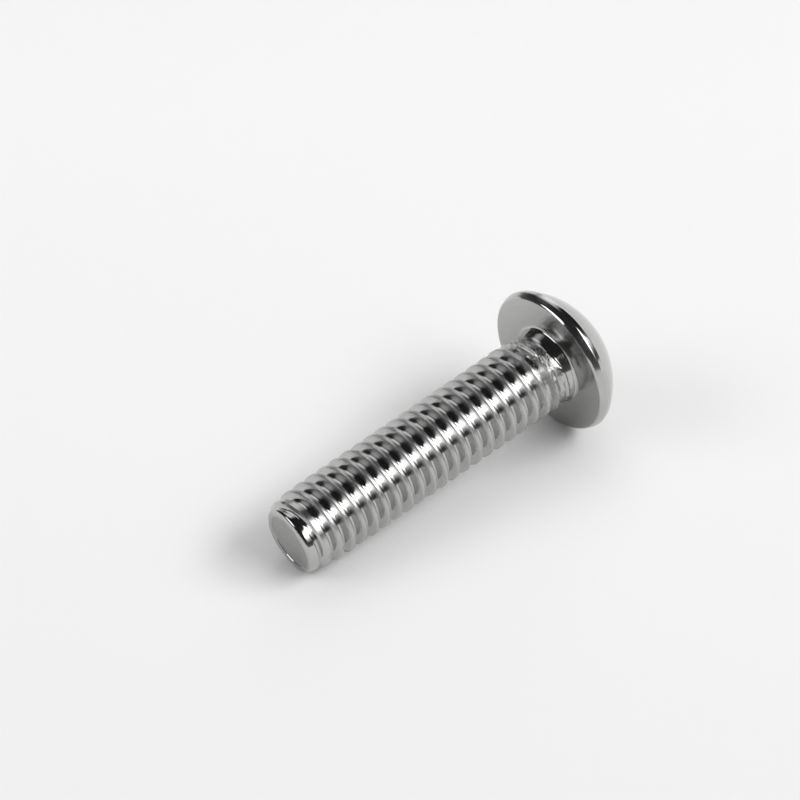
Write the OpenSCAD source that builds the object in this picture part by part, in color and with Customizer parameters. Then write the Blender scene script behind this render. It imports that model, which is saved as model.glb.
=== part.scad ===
// Button head machine screw, lying as it comes to rest on a table.
// Millimetres. +Z is up, +X runs from the tip towards the head, and the
// origin is below the middle of the screw, on the surface it lies on.

/* [Thread] */
// Diameter over the thread crests
major_d = 3.82; // [3.7:0.02:4.1]
// Diameter at the bottom of the thread groove
root_d = 3.1; // [3:0.02:3.3]
// Distance from one crest to the next
pitch = 0.7; // [0.6:0.05:0.8]
// Width of the flat on a crest
crest_w = 0.15; // [0.06:0.01:0.2]
// Length from the underside of the head to the tip
shank_len = 15.8; // [8:0.1:40]
// Height of the first crest on the upper side, from the underside of the head
crest_at = 0.53; // [0:0.01:0.7]

/* [Point] */
// Diameter of the flat face at the tip
point_d = 2.56; // [2:0.02:3]
// Diameter where the end chamfer stops
chamfer_d = 3.3; // [3.14:0.02:3.5]
// Length of the end chamfer
chamfer_len = 0.22; // [0.1:0.02:0.5]
// Length over which the first turns grow to full height
lead_len = 1; // [0.4:0.1:2]

/* [Neck] */
// Diameter of the plain neck under the head
neck_d = 3.48; // [3.2:0.02:3.6]
// Length of the plain neck
neck_len = 0.64; // [0.4:0.02:1.5]
// Radius of the fillet between neck and head
fillet_r = 0.2; // [0.18:0.01:0.3]
// Length over which the last turns fade out at the neck
runout_len = 1.2; // [0.5:0.1:2]

/* [Head] */
// Diameter of the head at its widest line
head_d = 7.2; // [6.6:0.05:7.6]
// Height of the head
head_h = 2.2; // [2:0.02:2.4]
// Height of the widest line above the underside
rim_h = 0.34; // [0.2:0.02:0.45]
// How far the flat of the underside stops short of the widest line
seat_inset = 0.17; // [0.1:0.01:0.4]
// Bevel at the edge of the underside
edge_bevel = 0.08; // [0.03:0.01:0.1]
// Height above the underside where the dome starts
crown_h = 0.58; // [0.5:0.02:0.8]
// How far the dome starts inside the widest line
crown_inset = 0.06; // [0.05:0.01:0.2]

/* [Drive] */
// Size across the flats of the hexagon socket
key_size = 2.5; // [2:0.1:3]
// Depth of the socket's flats
key_depth = 1.35; // [1:0.05:1.6]
// Depth of the cone at the socket's bottom
drill_h = 0.3; // [0.1:0.05:0.5]
// Bevel round the socket's mouth
mouth_bevel = 0.06; // [0.02:0.01:0.12]
// Width of the flat ring between the mouth and the dome
land_w = 0.05; // [0.02:0.01:0.2]

/* [Hidden] */
$fn = 120;
cols = 36;   // steps in one turn of the thread
sunk = 0.3;  // how far one piece reaches into the next

major_r = major_d / 2;
root_r = root_d / 2;
neck_r = neck_d / 2;
rim_r = head_d / 2;
seat_r = rim_r - seat_inset;
crown_r = rim_r - crown_inset;
mouth_r = key_size / sqrt(3) + mouth_bevel;
top_r = mouth_r + land_w;

// the dome is a ball through the crown's edge and the edge of the top land
dome_c = (pow(top_r, 2) + pow(head_h, 2) - pow(crown_r, 2) - pow(crown_h, 2))
    / (2 * (head_h - crown_h));
dome_r = sqrt(pow(crown_r, 2) + pow(crown_h - dome_c, 2));

// The thread: a 60 degree ridge with flat crest and flat root, wound right-handed.
// Heights run from the underside of the head towards the tip.
thread_from = neck_len - sunk;
thread_to = shank_len - chamfer_len;
flank_w = (major_r - root_r) * tan(30);
breaks = [-crest_w / 2 - flank_w, -crest_w / 2, crest_w / 2, crest_w / 2 + flank_w];
faded_r = neck_r - 0.04;
first_turn = floor((thread_from - crest_at) / pitch) - 2;
turns = ceil((thread_to - crest_at) / pitch) + 1 - first_turn;
rows = 4 * turns;
hair = 0.004; // a ridge line this close to an end is taken onto it

function ridge(u) =
    let (y = min(u, pitch - u))
    y <= crest_w / 2 ? major_r : max(root_r, major_r - (y - crest_w / 2) / tan(30));

function phase(h, turn) =
    let (v = (h - crest_at) / pitch - turn) (v - floor(v)) * pitch;

function faded(h, r) =
    faded_r + (r - faded_r) * min(1, max(0, (h - neck_len) / runout_len));

function lead(h) =
    lookup(h, [[thread_to - lead_len, major_r], [thread_to, chamfer_d / 2]]);

function thread_r(h, turn) = min(lead(h), faded(h, ridge(phase(h, turn))));

function row_h(j, k) = crest_at + pitch * (first_turn + floor(k / 4) + j / cols) + breaks[k % 4];

function row(j, k) =
    row_h(j, k) < thread_from + hair ? 0 : row_h(j, k) > thread_to - hair ? rows : k;

function corner(j, k) =
    j < cols ? j * (rows + 1) + row(j, k) : row(0, min(rows, k + 4));

function wall(a, b, c, d) =
    [for (t = [[a, d, b], [b, d, c]]) if (t[0] != t[1] && t[1] != t[2] && t[2] != t[0]) t];

// The lying screw touches the table with the rim of its head and the last full crest.
underline = [for (k = [0:turns]) for (e = [-1, 1])
    let (h = crest_at + pitch * (first_turn + k + 0.5) + e * crest_w / 2)
    if (h > neck_len && h < thread_to) [h, thread_r(h, 0.5)]];
tilt = atan(min([for (p = underline) (rim_r - p[1]) / (p[0] + rim_h)]));
lift = rim_r * cos(tilt) - rim_h * sin(tilt);
head_x = top_r * sin(tilt) + head_h * cos(tilt);
tip_x = point_d / 2 * sin(tilt) + shank_len * cos(tilt);

module rolled_thread() {
    at = [for (j = [0:cols - 1]) for (k = [0:rows])
        let (h = min(thread_to, max(thread_from, row_h(j, k))), r = thread_r(h, j / cols))
        [r * cos(360 * j / cols), r * sin(360 * j / cols), h]];
    face = [for (j = [0:cols - 1]) point_d / 2 * [cos(360 * j / cols), sin(360 * j / cols)]];
    points = concat(at, [for (p = face) [p[0], p[1], shank_len]]);
    helix = [for (j = [0:cols - 1]) for (k = [0:rows - 1])
        each wall(corner(j, k), corner(j + 1, k), corner(j + 1, k + 1), corner(j, k + 1))];
    chamfer = [for (j = [0:cols - 1]) let (n = (j + 1) % cols)
        each wall(corner(j, rows), corner(n, rows), len(at) + n, len(at) + j)];
    ends = [[for (j = [0:cols - 1]) corner(j, 0)], [for (j = [cols - 1:-1:0]) len(at) + j]];
    color("#c4c4c2") polyhedron(points, concat(helix, chamfer, ends));
}

module head_profile() {
    intersection() {
        translate([0, -dome_c]) circle(r = dome_r);
        translate([0, -head_h]) square([crown_r, head_h - crown_h + rim_h / 2]);
    }
    polygon([[0, 0], [seat_r, 0], [seat_r + edge_bevel, -edge_bevel],
        [rim_r, -rim_h], [crown_r, -crown_h], [0, -crown_h]]);
}

module neck_profile() {
    difference() {
        polygon([[0, -rim_h / 2], [neck_r + fillet_r, -rim_h / 2], [neck_r + fillet_r, fillet_r],
            [neck_r, fillet_r], [neck_r, neck_len], [0, neck_len]]);
        translate([neck_r + fillet_r, fillet_r]) circle(r = fillet_r);
    }
}

module headed_blank() {
    color("#dededc") rotate_extrude() {
        head_profile();
        neck_profile();
    }
}

module hex_socket() {
    hex_r = key_size / sqrt(3);
    color("#9a9a98") translate([0, 0, -head_h]) {
        translate([0, 0, -1]) cylinder(r = hex_r, h = 1 + key_depth, $fn = 6);
        translate([0, 0, key_depth - 0.1]) cylinder(r = key_size / 2 - 0.03, h = 0.1);
        translate([0, 0, key_depth]) cylinder(r1 = key_size / 2 - 0.03, r2 = 0, h = drill_h);
        cylinder(r1 = mouth_r, r2 = mouth_r - 2 * mouth_bevel, h = 2 * mouth_bevel);
    }
}

module screw() {
    translate([(tip_x - head_x) / 2, 0, lift]) rotate([0, -90 - tilt, 0]) {
        difference() {
            headed_blank();
            hex_socket();
        }
        rolled_thread();
    }
}

screw();
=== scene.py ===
import math

import bpy
import numpy as np
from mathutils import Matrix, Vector, noise


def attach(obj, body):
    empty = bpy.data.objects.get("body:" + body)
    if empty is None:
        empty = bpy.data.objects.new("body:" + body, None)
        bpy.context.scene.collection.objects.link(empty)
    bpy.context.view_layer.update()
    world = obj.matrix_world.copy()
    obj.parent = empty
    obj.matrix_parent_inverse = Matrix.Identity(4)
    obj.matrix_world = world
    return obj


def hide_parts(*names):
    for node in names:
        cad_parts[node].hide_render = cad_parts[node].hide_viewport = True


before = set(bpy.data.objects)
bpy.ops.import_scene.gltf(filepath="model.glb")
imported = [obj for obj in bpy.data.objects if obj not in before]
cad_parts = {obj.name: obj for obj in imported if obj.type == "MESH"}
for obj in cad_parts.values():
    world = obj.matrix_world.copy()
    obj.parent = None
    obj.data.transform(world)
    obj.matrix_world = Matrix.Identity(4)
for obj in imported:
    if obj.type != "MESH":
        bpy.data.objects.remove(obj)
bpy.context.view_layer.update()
print("frame loaded", sorted(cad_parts))

# The screw is modelled upright in millimetres: the middle of the head's underside at
# the origin, +Z towards the tip. It is laid down in metres at the end.
lying = {
    "tilt": 6.58568,       # degrees, tip down
    "underX": 6.73945,     # centre of the underside when it lies
    "underZ": 3.53725,
    "metres": 0.001,
}
lyingTurn = (0, math.radians(-90 - lying["tilt"]), 0)
lyingPlace = (lying["underX"] * lying["metres"], 0, lying["underZ"] * lying["metres"])
lyingScale = (lying["metres"], lying["metres"], lying["metres"])


def makeActive(obj):
    if bpy.context.object and bpy.context.object.mode != "OBJECT":
        bpy.ops.object.mode_set(mode="OBJECT")
    bpy.ops.object.select_all(action="DESELECT")
    obj.select_set(True)
    bpy.context.view_layer.objects.active = obj


def applyModifier(obj, kind, **settings):
    makeActive(obj)
    modifier = obj.modifiers.new(kind.title(), kind)
    for name, value in settings.items():
        setattr(modifier, name, value)
    bpy.ops.object.modifier_apply(modifier=modifier.name)


def drawProfile(name, points):
    # one vertex, pulled on from point to point in the XZ plane
    bpy.ops.object.select_all(action="DESELECT")
    bpy.ops.mesh.primitive_plane_add(size=0.1, location=(0, 0, 0))
    obj = bpy.context.object
    obj.name = name
    bpy.ops.object.mode_set(mode="EDIT")
    bpy.ops.mesh.select_mode(type="VERT")
    bpy.ops.mesh.select_all(action="SELECT")
    bpy.ops.mesh.merge(type="CENTER")
    here = Vector((points[0][0], 0, points[0][1]))
    bpy.ops.transform.translate(value=here)
    for r, h in points[1:]:
        there = Vector((r, 0, h))
        bpy.ops.mesh.extrude_vertices_move(TRANSFORM_OT_translate={"value": there - here})
        here = there
    bpy.ops.object.mode_set(mode="OBJECT")
    return obj


def tidyMesh(obj, gap=1e-4):
    makeActive(obj)
    bpy.ops.object.mode_set(mode="EDIT")
    bpy.ops.mesh.select_all(action="SELECT")
    bpy.ops.mesh.remove_doubles(threshold=gap)
    bpy.ops.mesh.normals_make_consistent(inside=False)
    bpy.ops.object.mode_set(mode="OBJECT")


def cutLevel(obj, height, **side):
    # a level cut; clear_outer drops what is above it, clear_inner what is below
    makeActive(obj)
    bpy.ops.object.mode_set(mode="EDIT")
    bpy.ops.mesh.select_all(action="SELECT")
    bpy.ops.mesh.bisect(plane_co=(0, 0, height), plane_no=(0, 0, 1), threshold=1e-5,
                        use_fill=bool(side), **side)
    bpy.ops.object.mode_set(mode="OBJECT")


def roundCorner(before, corner, after, radius, count=4):
    # points of an arc that is tangent to both sides of a corner
    b, c, a = Vector(before), Vector(corner), Vector(after)
    u, v = (b - c).normalized(), (a - c).normalized()
    half = u.angle(v) / 2
    reach = radius / math.tan(half)
    centre = c + (u + v).normalized() * (radius / math.sin(half))
    start, end = c + u * reach - centre, c + v * reach - centre
    arc = []
    for i in range(count + 1):
        k = i / count
        arm = (start * (1 - k) + end * k).normalized() * radius
        arc.append(tuple(centre + arm))
    return arc


def smoothStep(x):
    x = min(1.0, max(0.0, x))
    return x * x * (3 - 2 * x)


# shank: neck, thread and point in one turned piece

shank = {
    "length": 15.85,
    "crestRadius": 1.91,
    "rootRadius": 1.55,
    "pitch": 0.7,
    "flankAngle": 31.0,    # degrees, half the angle between two flanks
    "crestFlat": 0.15,
    "softness": 0.03,      # rounds the thread's corners
    "seamDepth": 0.006,    # rolling leaves a shallow seam along the crest
    "seamWidth": 0.028,
    "firstCrest": 0.53,    # height where a crest meets the upper side
    "sunk": 0.5,           # how far the shank reaches into the head
    "steps": 112,
    "neckRadius": 1.765,   # where the rolled part starts
    "neckSlope": 0.27,     # the neck widens towards the head,
    "neckTop": 0.6,        # from this height down
    "bodyRadius": 1.84,    # the blank that the dies start on
    "rollStart": 0.62,     # the rolled part starts askew: its mean height,
    "rollSkew": 0.3,       # how far it wanders up and down,
    "rollTurn": 60.0,      # the side where it starts highest, in degrees,
    "rollLowest": 0.36,    # the lowest that it may start,
    "rollStep": 0.1,       # and how sharply
    "fadeLength": 1.1,     # the crests grow and the grooves deepen over this length
    "roofSoftness": 0.025,
    "tornHeight": 0.05,    # how far the last crests are torn up at the neck
    "tornReach": 2.0,      # the tears end this far above the start,
    "tornFade": 1.1,       # and fade over this length
    "tornGroove": 0.35,    # share of them down in the groove
    "tearsCoarse": 3.1,    # tears to the millimetre
    "tearsFine": 8.3,
    "tearsRadius": 1.8,    # where they are counted
    "tearsLimit": 0.8,
    "firstRidge": 1.709,   # ridges near the end are not rolled to their full height
    "ridgeGrowth": 0.145,
    "endReach": 1.7,       # how far from the end they may be low
    "endSoftness": 0.02,
    "endFlat": 1.335,      # radius of the sheared face
    "endZone": 0.18,       # depth of the rounded edge round it
    "endDepth": 0.192,     # and that depth once the face leans
    "endSkew": 0.168,
    "endTurn": -52.0,      # the side it leans to
    "endShift": 0.05,      # the end sits a little off the thread's axis,
    "shiftTurn": -130.5,   # towards this side
    "endRim": 0.02,        # the face sinks a little inside a narrow rim
    "endStep": 0.012,
    "endSink": 0.022,
}

# the rounded end: depth below the face and the greatest radius there
endOutline = [
    (0.0, 1.335), (0.005, 1.4), (0.014, 1.47), (0.028, 1.53), (0.045, 1.575), (0.065, 1.608),
    (0.1, 1.635), (0.18, 1.652), (0.26, 1.664), (0.33, 1.69), (0.42, 1.78), (0.55, 1.95),
]
manySided = 40    # only the end face has more corners than this


def softMin(a, b, soft):
    k = min(1.0, max(0.0, 0.5 + 0.5 * (b - a) / soft))
    return b * (1 - k) + a * k - soft * k * (1 - k)


def ridge(y):
    # the thread's section: flat crest with a seam, straight flanks, flat root
    s = shank
    side = s["crestRadius"] - (abs(y) - s["crestFlat"] / 2) / math.tan(math.radians(s["flankAngle"]))
    crest = softMin(s["crestRadius"], side, s["softness"])
    r = -softMin(-crest, -s["rootRadius"], s["softness"])
    return r - s["seamDepth"] * math.exp(-(y / s["seamWidth"]) ** 2)


def threadProfile():
    # one pitch, with points closer together where the section bends
    half = shank["pitch"] / 2
    levels = [0, 0.014, 0.028, 0.042, 0.056, 0.067, 0.078, 0.09, 0.13,
              0.18, 0.23, 0.27, 0.284, 0.298, 0.312, half]
    both = [-y for y in reversed(levels[1:])] + levels
    return [(ridge(y), y) for y in both]


def runOut(raw, x, y, h, turn):
    # the radius near the head, where the thread starts askew and is torn
    s = shank
    start = s["rollStart"] + s["rollSkew"] * math.cos(math.radians(turn - s["rollTurn"]))
    start = max(s["rollLowest"], start)
    if h > start + s["tornReach"]:
        return raw
    r = raw
    grown = min(1.0, max(0.0, (h - start) / s["fadeLength"]))
    if grown < 1:
        floor = s["bodyRadius"] + (s["rootRadius"] - s["bodyRadius"]) * grown
        # with a little room above the blank and above the full crest
        roof = s["bodyRadius"] + 0.01 + (s["crestRadius"] + 0.02 - s["bodyRadius"]) * grown
        r = softMin(-softMin(-raw, -floor, s["softness"]), roof, s["roofSoftness"])
    place = Vector((x / raw * s["tearsRadius"], y / raw * s["tearsRadius"], h))
    tears = noise.noise(place * s["tearsCoarse"])
    tears += 0.8 * noise.noise(place * s["tearsFine"] + Vector((7, 3, 1)))
    tears = max(-s["tearsLimit"], min(s["tearsLimit"], tears))
    near = smoothStep((start + s["tornReach"] - h) / s["tornFade"])
    high = smoothStep((raw - s["rootRadius"]) / 0.25)
    r += s["tornHeight"] * near * (s["tornGroove"] + (1 - s["tornGroove"]) * high) * tears
    neck = s["neckRadius"] + s["neckSlope"] * max(0.0, s["neckTop"] - h)
    return neck + (r - neck) * smoothStep((h - start) / s["rollStep"] + 0.5)


def endLimit(h, turn):
    # the greatest radius that the end leaves at a height, and round on which side
    s = shank
    deep = s["length"] - h
    crest = s["firstCrest"] + s["pitch"] * turn / 360
    crest += s["pitch"] * round((h - crest) / s["pitch"])
    grown = s["firstRidge"] + s["ridgeGrowth"] * (s["length"] - crest)
    shift = s["endShift"] * math.cos(math.radians(turn - s["shiftTurn"]))
    for (d0, r0), (d1, r1) in zip(endOutline, endOutline[1:]):
        if deep <= d1:
            edge = r0 + (r1 - r0) * max(0.0, deep - d0) / (d1 - d0)
            return min(edge + shift, grown)
    return grown


def shapeShank(obj):
    s = shank
    count = len(obj.data.vertices)
    co = np.zeros(count * 3)
    obj.data.vertices.foreach_get("co", co)
    co = co.reshape(-1, 3)
    for i in range(count):
        x, y, h = co[i]
        raw = math.hypot(x, y)
        if raw < 1e-6:
            continue
        turn = math.degrees(math.atan2(y, x))
        r = runOut(raw, x, y, h, turn)
        if h > s["length"] - s["endReach"]:
            r = min(r, softMin(r, endLimit(h, turn), s["endSoftness"]))
        co[i, 0] = x * r / raw
        co[i, 1] = y * r / raw
    # the sheared face leans, and the rounded edge follows it
    edge = s["length"] - s["endZone"]
    lean = math.radians(s["endTurn"])
    for i in range(count):
        x, y, h = co[i]
        if h > edge:
            across = (x * math.cos(lean) + y * math.sin(lean)) / s["endFlat"]
            co[i, 2] = edge + (h - edge) * (s["endDepth"] + s["endSkew"] * across) / s["endZone"]
    obj.data.vertices.foreach_set("co", co.ravel())
    obj.data.update()


def buildShank():
    s = shank
    turnsBelow = 4
    turns = math.ceil((s["length"] - s["firstCrest"]) / s["pitch"]) + turnsBelow + 2
    start = s["firstCrest"] - turnsBelow * s["pitch"]
    obj = drawProfile("shankBlank", [(r, start + y) for r, y in threadProfile()])
    applyModifier(obj, "SCREW", axis="Z", angle=2 * math.pi, screw_offset=s["pitch"],
                  iterations=turns, steps=s["steps"], render_steps=s["steps"])
    tidyMesh(obj)
    cutLevel(obj, s["length"], clear_outer=True)
    cutLevel(obj, -s["sunk"], clear_inner=True)
    # rings of points where the rounded edge bends
    for ring in endOutline[1:8]:
        cutLevel(obj, s["length"] - ring[0])
    shapeShank(obj)
    tidyMesh(obj)
    makeActive(obj)
    bpy.ops.object.mode_set(mode="EDIT")
    bpy.ops.mesh.select_mode(type="FACE")
    bpy.ops.mesh.select_all(action="DESELECT")
    bpy.ops.object.mode_set(mode="OBJECT")
    for face in obj.data.polygons:
        face.select = len(face.vertices) > manySided and face.center.z > s["length"] - 0.5
    bpy.ops.object.mode_set(mode="EDIT")
    bpy.ops.mesh.inset(thickness=s["endRim"], depth=0.0)
    bpy.ops.mesh.inset(thickness=s["endStep"], depth=-s["endSink"])
    bpy.ops.object.mode_set(mode="OBJECT")
    return obj


# head: a revolve from the fillet round the rim and over the dome

head = {
    "radius": 3.6,
    "height": 2.2,
    "rimHeight": 0.34,
    "seatInset": 0.17,
    "edgeBevel": 0.08,
    "crownHeight": 0.58,
    "crownInset": 0.06,
    "filletRadius": 0.16,
    "rimRounding": 0.16,   # radius of the turns from bevel to rim and from rim to crown
    "bevelRounding": 0.06,
    "edgeRounding": 0.03,  # of the underside's edge and of the land
    "keySize": 2.5,
    "keyDepth": 1.35,
    "keyRounding": 0.035,
    "drillDepth": 0.3,
    "mouthBevel": 0.06,
    "landWidth": 0.05,
    "steps": 192,
}


def headProfile():
    s = head
    neck = shank["neckRadius"] + shank["neckSlope"] * (shank["neckTop"] - s["filletRadius"])
    neck += 0.002    # just outside the shank
    seat = s["radius"] - s["seatInset"]
    crown = s["radius"] - s["crownInset"]
    mouth = s["keySize"] / math.sqrt(3) + s["mouthBevel"]
    land = mouth + s["landWidth"]
    top, low = s["height"], s["crownHeight"]
    bevel = (seat + s["edgeBevel"], -s["edgeBevel"])
    rim = (s["radius"], -s["rimHeight"])
    edge = (crown, -low)
    # the dome is a ball through the crown's edge and the land's edge
    centre = (land ** 2 + top ** 2 - crown ** 2 - low ** 2) / (2 * (top - low))
    ball = math.hypot(crown, low - centre)
    first = math.atan2(low - centre, crown)
    last = math.atan2(top - centre, land)
    dome = []
    for i in range(1, 41):
        a = first + (last - first) * i / 40
        dome.append((ball * math.cos(a), -(centre + ball * math.sin(a))))
    points = [(0.0, s["filletRadius"]), (neck, s["filletRadius"])]
    points += roundCorner((neck, 1.0), (neck, 0.0), (seat, 0.0), s["filletRadius"], 8)[1:]
    points += roundCorner((neck, 0.0), (seat, 0.0), bevel, s["edgeRounding"])
    points += roundCorner((seat, 0.0), bevel, rim, s["bevelRounding"])
    points += roundCorner(bevel, rim, edge, s["rimRounding"], 8)
    points += roundCorner(rim, edge, dome[4], s["rimRounding"], 6)
    points += dome[3:-1]
    points += roundCorner(dome[-2], dome[-1], (mouth, -top), s["edgeRounding"], 3)
    floor = 2 * s["mouthBevel"] - top
    return points + [(mouth, -top), (mouth - 2 * s["mouthBevel"], floor), (0.0, floor)]


def cutAway(obj, cutter):
    applyModifier(obj, "BOOLEAN", operation="DIFFERENCE", solver="EXACT", object=cutter)
    bpy.data.objects.remove(cutter)
    bpy.ops.object.select_all(action="DESELECT")


def buildHead():
    s = head
    deep = s["keyDepth"]
    obj = drawProfile("headBlank", headProfile())
    applyModifier(obj, "SCREW", axis="Z", angle=2 * math.pi, screw_offset=0.0, iterations=1,
                  steps=s["steps"], render_steps=s["steps"],
                  use_merge_vertices=True, merge_threshold=1e-4)
    tidyMesh(obj)
    # the hexagon punch, with its corners a little rounded
    bpy.ops.object.select_all(action="DESELECT")
    bpy.ops.mesh.primitive_cylinder_add(vertices=6, radius=s["keySize"] / math.sqrt(3), depth=deep + 1.0,
                                        location=(0, 0, -s["height"] + (deep - 1.0) / 2),
                                        rotation=(0, 0, math.radians(30)))
    punch = bpy.context.object
    bpy.ops.object.transform_apply(location=True, rotation=True, scale=True)
    bpy.ops.object.mode_set(mode="EDIT")
    bpy.ops.mesh.select_all(action="SELECT")
    bpy.ops.mesh.bevel(offset=s["keyRounding"], segments=3, affect="EDGES")
    bpy.ops.object.mode_set(mode="OBJECT")
    cutAway(obj, punch)
    # the drill's cone below it
    bpy.ops.mesh.primitive_cone_add(vertices=96, radius1=s["keySize"] / 2 - 0.03, radius2=0.02,
                                    depth=s["drillDepth"] + 0.1,
                                    location=(0, 0, -s["height"] + deep + s["drillDepth"] / 2 - 0.05))
    drill = bpy.context.object
    bpy.ops.object.transform_apply(location=True, rotation=True, scale=True)
    cutAway(obj, drill)
    tidyMesh(obj, 1e-5)
    return obj


screwPiece = buildShank()
print("shank", len(screwPiece.data.polygons))
headPiece = buildHead()
print("head", len(headPiece.data.polygons))
applyModifier(screwPiece, "BOOLEAN", operation="UNION", solver="EXACT", object=headPiece)
bpy.data.objects.remove(headPiece)
tidyMesh(screwPiece, 1e-5)
screwPiece.name = "screwPiece"
print("joined", len(screwPiece.data.polygons))


# finishes

def addGroup(name, inputs, outputs):
    group = bpy.data.node_groups.new(name, "ShaderNodeTree")
    for label, kind, value in inputs:
        socket = group.interface.new_socket(name=label, in_out="INPUT", socket_type=kind)
        if value is not None:
            socket.default_value = value
    for label, kind in outputs:
        group.interface.new_socket(name=label, in_out="OUTPUT", socket_type=kind)
    return group, group.nodes.new("NodeGroupInput"), group.nodes.new("NodeGroupOutput")


def mathNode(tree, operation, first, second=None, third=None):
    node = tree.nodes.new("ShaderNodeMath")
    node.operation = operation
    for i, value in enumerate((first, second, third)):
        if value is None:
            continue
        if isinstance(value, (int, float)):
            node.inputs[i].default_value = value
        else:
            tree.links.new(value, node.inputs[i])
    return node.outputs[0]


def rampNode(tree, value, start, end, low, high, kind="SMOOTHSTEP"):
    node = tree.nodes.new("ShaderNodeMapRange")
    node.interpolation_type = kind
    tree.links.new(value, node.inputs["Value"])
    for label, number in (("From Min", start), ("From Max", end), ("To Min", low), ("To Max", high)):
        node.inputs[label].default_value = number
    return node.outputs["Result"]


def noiseNode(tree, vector, scale, detail):
    node = tree.nodes.new("ShaderNodeTexNoise")
    node.inputs["Scale"].default_value = scale
    node.inputs["Detail"].default_value = detail
    tree.links.new(vector, node.inputs["Vector"])
    return node


def mixNode(tree, factor, low, high):
    node = tree.nodes.new("ShaderNodeMix")
    node.data_type = "RGBA"
    node.inputs["A"].default_value = (*low, 1)
    node.inputs["B"].default_value = (*high, 1)
    tree.links.new(factor, node.inputs["Factor"])
    return node.outputs["Result"]


def fromAxis(tree, parts):
    squares = [mathNode(tree, "POWER", parts.outputs[axis], 2.0) for axis in "XY"]
    return mathNode(tree, "SQRT", mathNode(tree, "ADD", squares[0], squares[1]))


def makeTurnedMarks():
    # fine rings round the screw's axis, as a tool or a rolling die leaves them
    group, given, result = addGroup("turnedMarks", [
        ("Vector", "NodeSocketVector", None),
        ("Fineness", "NodeSocketFloat", 60.0),
        ("Drift", "NodeSocketFloat", 0.6),
    ], [("Height", "NodeSocketFloat"), ("Tone", "NodeSocketFloat")])
    links = group.links
    parts = group.nodes.new("ShaderNodeSeparateXYZ")
    links.new(given.outputs["Vector"], parts.inputs[0])
    across = fromAxis(group, parts)
    safe = mathNode(group, "MAXIMUM", across, 0.001)
    ring = group.nodes.new("ShaderNodeCombineXYZ")
    links.new(mathNode(group, "MULTIPLY", across, given.outputs["Fineness"]), ring.inputs["X"])
    # going round the axis the rings drift a little
    for axis, socket in (("X", "Y"), ("Y", "Z")):
        share = mathNode(group, "DIVIDE", parts.outputs[axis], safe)
        links.new(mathNode(group, "MULTIPLY", share, given.outputs["Drift"]), ring.inputs[socket])
    lines = group.nodes.new("ShaderNodeTexNoise")
    lines.noise_dimensions = "4D"
    lines.inputs["Scale"].default_value = 1.0
    lines.inputs["Detail"].default_value = 2.0
    lines.inputs["Roughness"].default_value = 0.6
    links.new(ring.outputs[0], lines.inputs["Vector"])
    fine = mathNode(group, "MULTIPLY", parts.outputs["Z"], given.outputs["Fineness"])
    links.new(fine, lines.inputs["W"])
    links.new(lines.outputs[0], result.inputs["Height"])
    broad = noiseNode(group, given.outputs["Vector"], 1.6, 3.0)
    links.new(broad.outputs[0], result.inputs["Tone"])
    return group


turnedMarks = makeTurnedMarks()


# where the thread's crests are dull, and how the tears come and go above the head (mm)
threadWear = {
    "grooveRadius": 1.62,  # burnished by the dies up to here
    "crestRadius": 1.87,
    "from": 0.9,
    "full": 1.8,
    "tearStops": [(0.48, 0.0), (0.8, 1.0), (1.6, 0.6), (2.48, 0.0)],
    "tearSpan": 4.0,
}

# fineness and drift shape the rings, bump is their height in micrometres, pits and tears
# are weighed against them, and dullCrest is added to the roughness of the thread's crests
finishes = {
    "rolledSteel": {"fineness": 16.0, "drift": 0.25, "smoothest": 0.06, "roughest": 0.13,
                    "dark": (0.46, 0.46, 0.455), "light": (0.53, 0.53, 0.525),
                    "pitScale": 6.0, "pitShare": 0.5, "bump": 0.3, "dullCrest": 0.2, "tears": 150.0},
    "turnedSteel": {"fineness": 24.0, "drift": 0.5, "smoothest": 0.14, "roughest": 0.22,
                    "dark": (0.44, 0.44, 0.435), "light": (0.53, 0.53, 0.525),
                    "pitScale": 12.0, "pitShare": 0.5, "bump": 0.6},
    "shearedSteel": {"fineness": 6.0, "drift": 2.5, "smoothest": 0.28, "roughest": 0.4,
                     "dark": (0.39, 0.39, 0.385), "light": (0.48, 0.48, 0.475),
                     "pitScale": 7.0, "pitShare": 1.5, "bump": 3.0},
    "polishedSteel": {"fineness": 9.0, "drift": 1.5, "smoothest": 0.07, "roughest": 0.13,
                      "dark": (0.47, 0.47, 0.465), "light": (0.54, 0.54, 0.535),
                      "pitScale": 7.0, "pitShare": 1.0, "bump": 0.5},
    "punchedSteel": {"fineness": 18.0, "drift": 3.0, "smoothest": 0.28, "roughest": 0.45,
                     "dark": (0.36, 0.36, 0.355), "light": (0.48, 0.48, 0.475),
                     "pitScale": 16.0, "pitShare": 1.5, "bump": 1.5},
}


def dullCrests(tree, along, amount):
    # the grooves are burnished by the dies, the crests stay dull
    wear = threadWear
    dull = rampNode(tree, fromAxis(tree, along), wear["grooveRadius"], wear["crestRadius"], 0.0, amount)
    past = rampNode(tree, along.outputs["Z"], wear["from"], wear["full"], 0.0, 1.0)
    return mathNode(tree, "MULTIPLY", dull, past)


def tearsNear(tree, upright, along):
    # the metal is torn where the thread runs out under the head
    span = threadWear["tearSpan"]
    region = tree.nodes.new("ShaderNodeValToRGB")
    stops = region.color_ramp.elements
    for i, (h, amount) in enumerate(threadWear["tearStops"]):
        stop = stops[i] if i < 2 else stops.new(h / span)
        stop.position = h / span
        stop.color = (amount, amount, amount, 1)
    tree.links.new(mathNode(tree, "DIVIDE", along.outputs["Z"], span), region.inputs["Fac"])
    scars = noiseNode(tree, upright, 5.0, 5.0)
    scars.inputs["Roughness"].default_value = 0.65
    return mathNode(tree, "MULTIPLY", scars.outputs[0], region.outputs["Color"])


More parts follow.
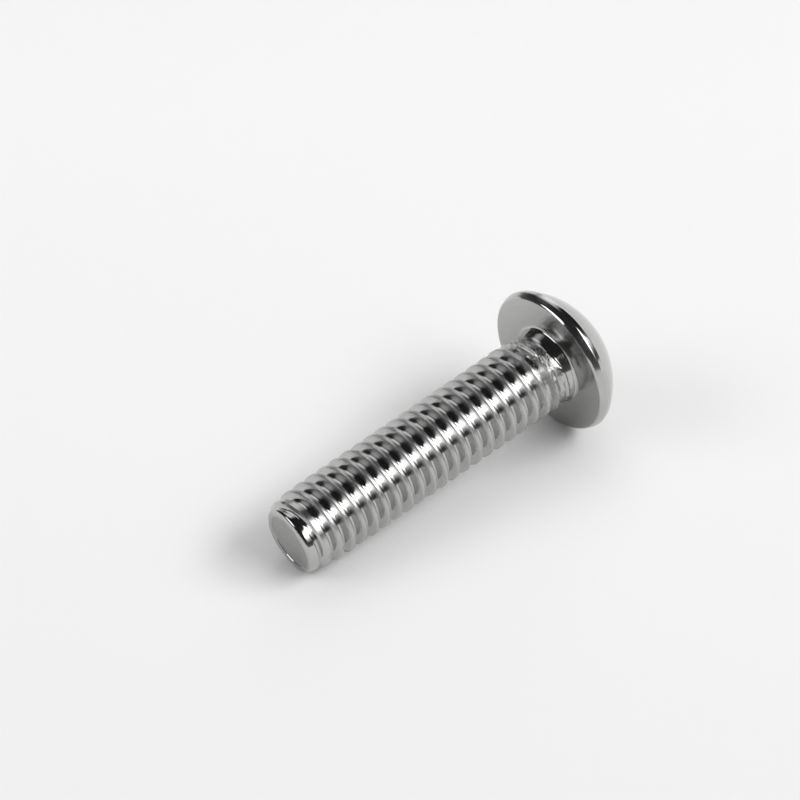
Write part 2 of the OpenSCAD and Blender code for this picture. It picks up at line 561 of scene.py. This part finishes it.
def makeSteel(name, finish):
    material = bpy.data.materials.new(name)
    material.use_nodes = True
    tree = material.node_tree
    links = tree.links
    shader = tree.nodes["Principled BSDF"]
    shader.inputs["Metallic"].default_value = 1.0
    place = tree.nodes.new("ShaderNodeTexCoord")
    # back into the screw's own upright millimetres
    mapping = tree.nodes.new("ShaderNodeMapping")
    mapping.vector_type = "TEXTURE"
    mapping.inputs["Location"].default_value = lyingPlace
    mapping.inputs["Rotation"].default_value = lyingTurn
    mapping.inputs["Scale"].default_value = lyingScale
    links.new(place.outputs["Object"], mapping.inputs["Vector"])
    upright = mapping.outputs[0]
    along = tree.nodes.new("ShaderNodeSeparateXYZ")
    links.new(upright, along.inputs[0])
    marks = tree.nodes.new("ShaderNodeGroup")
    marks.node_tree = turnedMarks
    marks.inputs["Fineness"].default_value = finish["fineness"]
    marks.inputs["Drift"].default_value = finish["drift"]
    links.new(upright, marks.inputs["Vector"])
    rough = rampNode(tree, marks.outputs["Tone"], 0.3, 0.7,
                     finish["smoothest"], finish["roughest"], "LINEAR")
    if "dullCrest" in finish:
        rough = mathNode(tree, "ADD", rough, dullCrests(tree, along, finish["dullCrest"]))
    links.new(rough, shader.inputs["Roughness"])
    shade = mixNode(tree, marks.outputs["Height"], finish["dark"], finish["light"])
    links.new(shade, shader.inputs["Base Color"])
    pits = noiseNode(tree, upright, finish["pitScale"], 3.0)
    total = mathNode(tree, "MULTIPLY_ADD", pits.outputs[0], finish["pitShare"], marks.outputs["Height"])
    if "tears" in finish:
        total = mathNode(tree, "MULTIPLY_ADD", tearsNear(tree, upright, along), finish["tears"], total)
    bump = tree.nodes.new("ShaderNodeBump")
    bump.inputs["Strength"].default_value = 1.0
    bump.inputs["Distance"].default_value = finish["bump"] * 1e-6
    links.new(total, bump.inputs["Height"])
    links.new(bump.outputs[0], shader.inputs["Normal"])
    return material


def assignFinishes(obj):
    names = list(finishes)
    for name in names:
        obj.data.materials.append(makeSteel(name, finishes[name]))
    mouth = head["keySize"] / math.sqrt(3) + head["mouthBevel"]
    for face in obj.data.polygons:
        x, y, h = face.center
        r = math.hypot(x, y)
        onSeat = abs(h) < 0.004 and face.normal.z > 0.98
        onRim = r > head["radius"] - 0.1 and -head["rimHeight"] - 0.02 < h < -head["edgeBevel"]
        pick = "rolledSteel"
        if len(face.vertices) > manySided and h > shank["length"] / 2:
            pick = "shearedSteel"
        elif onSeat or onRim:
            pick = "turnedSteel"
        elif h < -0.001:
            inSocket = r < mouth and h > -head["height"] + 0.001
            pick = "punchedSteel" if inSocket else "polishedSteel"
        face.material_index = names.index(pick)


assignFinishes(screwPiece)
makeActive(screwPiece)
bpy.ops.object.shade_smooth_by_angle(angle=math.radians(28))
screwPiece.rotation_euler = lyingTurn
screwPiece.location = lyingPlace
screwPiece.scale = lyingScale
bpy.ops.object.transform_apply(location=True, rotation=True, scale=True)
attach(screwPiece, "root")
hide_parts("screw")
print("screw laid down", [round(v * 1000, 3) for v in screwPiece.dimensions])


# table, camera and light

camera = {
    "aim": (0.0009686, 0.0037549, 0.0022370),
    "distance": 0.23316,
    "turn": -41.7136,      # degrees round from looking along +Y
    "elevation": 38.5759,
    "lens": 228.50,
    "sensor": 36.0,
}


def towards(bearing, elevation):
    # the bearing runs clockwise from straight away from the camera, as seen from above
    turn = math.radians(camera["turn"])
    away = Vector((-math.sin(turn), math.cos(turn), 0))
    side = Vector((math.cos(turn), math.sin(turn), 0))
    b, e = math.radians(bearing), math.radians(elevation)
    return (away * math.cos(b) + side * math.sin(b)) * math.cos(e) + Vector((0, 0, math.sin(e)))


def placeCamera():
    bpy.ops.object.select_all(action="DESELECT")
    aim = Vector(camera["aim"])
    out = towards(180, camera["elevation"])
    bpy.ops.object.camera_add(location=aim + out * camera["distance"])
    obj = bpy.context.object
    obj.rotation_euler = (-out).to_track_quat("-Z", "Y").to_euler()
    obj.data.lens = camera["lens"]
    obj.data.sensor_width = camera["sensor"]
    obj.data.clip_start = 0.001
    bpy.context.scene.camera = obj


placeCamera()

table = {
    "radius": 0.6,
    "border": 0.3,
    "height": -0.00001,
    # painted shade and light: near is the darker colour on the camera's side, far the lighter one away
    # from it
    "near": (0.835, 0.835, 0.833),
    "far": (0.915, 0.915, 0.913),
    "blend": 0.03,         # how far each way from the middle the two shades blend
}


def buildTable():
    bpy.ops.object.select_all(action="DESELECT")
    bpy.ops.mesh.primitive_circle_add(vertices=96, radius=table["radius"], fill_type="NGON",
                                      location=(0, 0, table["height"]))
    obj = bpy.context.object
    obj.name = "paperTable"
    bpy.ops.object.mode_set(mode="EDIT")
    bpy.ops.mesh.select_all(action="SELECT")
    bpy.ops.mesh.inset(thickness=table["border"])
    bpy.ops.object.mode_set(mode="OBJECT")
    material = bpy.data.materials.new("whitePaper")
    material.use_nodes = True
    tree = material.node_tree
    shader = tree.nodes["Principled BSDF"]
    # painted shade and light: the sheet's colour is darker on the camera's side and lighter away from
    # it, standing in for light that falls more on the far side
    place = tree.nodes.new("ShaderNodeTexCoord")
    away = tree.nodes.new("ShaderNodeVectorMath")
    away.operation = "DOT_PRODUCT"
    away.inputs[1].default_value = towards(0, 0)
    tree.links.new(place.outputs["Object"], away.inputs[0])
    share = rampNode(tree, away.outputs["Value"], -table["blend"], table["blend"], 0.0, 1.0, "LINEAR")
    tree.links.new(mixNode(tree, share, table["near"], table["far"]), shader.inputs["Base Color"])
    shader.inputs["Roughness"].default_value = 0.9
    shader.inputs["Specular IOR Level"].default_value = 0.1
    obj.data.materials.append(material)


buildTable()

# strength is the brightness of a lamp's face, and the steel doesn't mirror a hidden one
lamps = {
    "rightSoftbox": {"bearing": 105, "elevation": 45.5, "distance": 0.5,
                     "width": 0.48, "height": 0.19, "strength": 4.2},
    "leftSoftbox": {"bearing": -106, "elevation": 35, "distance": 0.5,
                    "width": 0.32, "height": 0.17, "strength": 3.2},
    "overheadFill": {"bearing": 180, "elevation": 88, "distance": 0.6,
                     "width": 1.6, "height": 1.6, "strength": 0.49, "hidden": True},
}


def placeLamp(name, lamp):
    out = towards(lamp["bearing"], lamp["elevation"])
    bpy.ops.object.light_add(type="AREA", location=out * lamp["distance"])
    obj = bpy.context.object
    obj.name = name
    obj.rotation_euler = (-out).to_track_quat("-Z", "Y").to_euler()
    obj.data.shape = "RECTANGLE"
    obj.data.size = lamp["width"]
    obj.data.size_y = lamp["height"]
    obj.data.energy = lamp["strength"] * math.pi * lamp["width"] * lamp["height"]
    obj.visible_glossy = not lamp.get("hidden")


for lampName, lampValues in lamps.items():
    placeLamp(lampName, lampValues)

# What the steel mirrors: pale paper low down all round and a dark studio above it, with a
# window and a wall behind, a glow for the crown's edge and a pale skirt under the right softbox.
# Heights are the sine of the elevation, and an edge says where a glow starts and is full.
studio = {
    "background": 0.92,    # what the camera sees past the table
    "paper": 0.92,
    "paperEdge": (0.02, 0.06),
    "paperBearing": 50,    # the paper stands higher on this side
    "paperRise": 0.1,
    "darkHeight": (0.05, 0.5),
    "darkLevel": (0.12, 0.022),
    "window": {"bearing": -14, "elevation": 49, "edge": (0.915, 0.985), "level": 1.0},
    "wall": {"bearing": -8, "elevation": 6, "edge": (0.88, 0.97), "level": 0.5},
    "crownGlow": {"bearing": 16, "elevation": 18, "edge": (0.93, 0.99), "level": 1.5},
    "skirt": 2.2,
    "skirtBearing": 105,
    "skirtFoot": (0.26, 0.62),
    "skirtTop": (0.7, 0.76),
    "skirtSides": (0.81, 0.87),
}


def buildWorld():
    s = studio
    world = bpy.data.worlds.new("studioWorld")
    bpy.context.scene.world = world
    world.use_nodes = True
    tree = world.node_tree
    links = tree.links
    back = tree.nodes["Background"]
    place = tree.nodes.new("ShaderNodeTexCoord")
    parts = tree.nodes.new("ShaderNodeSeparateXYZ")
    links.new(place.outputs["Generated"], parts.inputs[0])
    height = parts.outputs["Z"]

    def facing(bearing, elevation):
        node = tree.nodes.new("ShaderNodeVectorMath")
        node.operation = "DOT_PRODUCT"
        node.inputs[1].default_value = towards(bearing, elevation)
        links.new(place.outputs["Generated"], node.inputs[0])
        return node.outputs["Value"]

    def glow(spot):
        near = facing(spot["bearing"], spot["elevation"])
        return rampNode(tree, near, *spot["edge"], 0.0, spot["level"])

    leaning = mathNode(tree, "MULTIPLY_ADD", facing(s["paperBearing"], 0), -s["paperRise"], height)
    paper = rampNode(tree, leaning, *s["paperEdge"], s["paper"], 0.0)
    dark = rampNode(tree, height, *s["darkHeight"], *s["darkLevel"], "LINEAR")
    wall = mathNode(tree, "MAXIMUM", glow(s["wall"]), glow(s["crownGlow"]))
    # how far the view is from straight up, so that the skirt's sides stand upright
    reach = mathNode(tree, "SQRT", mathNode(tree, "SUBTRACT", 1.0, mathNode(tree, "POWER", height, 2.0)))
    across = mathNode(tree, "DIVIDE", facing(s["skirtBearing"], 0), reach)
    skirt = rampNode(tree, height, *s["skirtFoot"], 0.0, s["skirt"])
    skirt = mathNode(tree, "MULTIPLY", skirt, rampNode(tree, height, *s["skirtTop"], 1.0, 0.0))
    skirt = mathNode(tree, "MULTIPLY", skirt, rampNode(tree, across, *s["skirtSides"], 0.0, 1.0))
    low = mathNode(tree, "MAXIMUM", mathNode(tree, "MAXIMUM", paper, dark), wall)
    total = mathNode(tree, "ADD", low, mathNode(tree, "MAXIMUM", glow(s["window"]), skirt))
    path = tree.nodes.new("ShaderNodeLightPath")
    pick = tree.nodes.new("ShaderNodeMix")
    links.new(path.outputs["Is Camera Ray"], pick.inputs["Factor"])
    links.new(total, pick.inputs["A"])
    pick.inputs["B"].default_value = s["background"]
    links.new(pick.outputs["Result"], back.inputs["Color"])


buildWorld()
bpy.context.scene.view_settings.view_transform = "Standard"
print("stage, lamps and camera set")
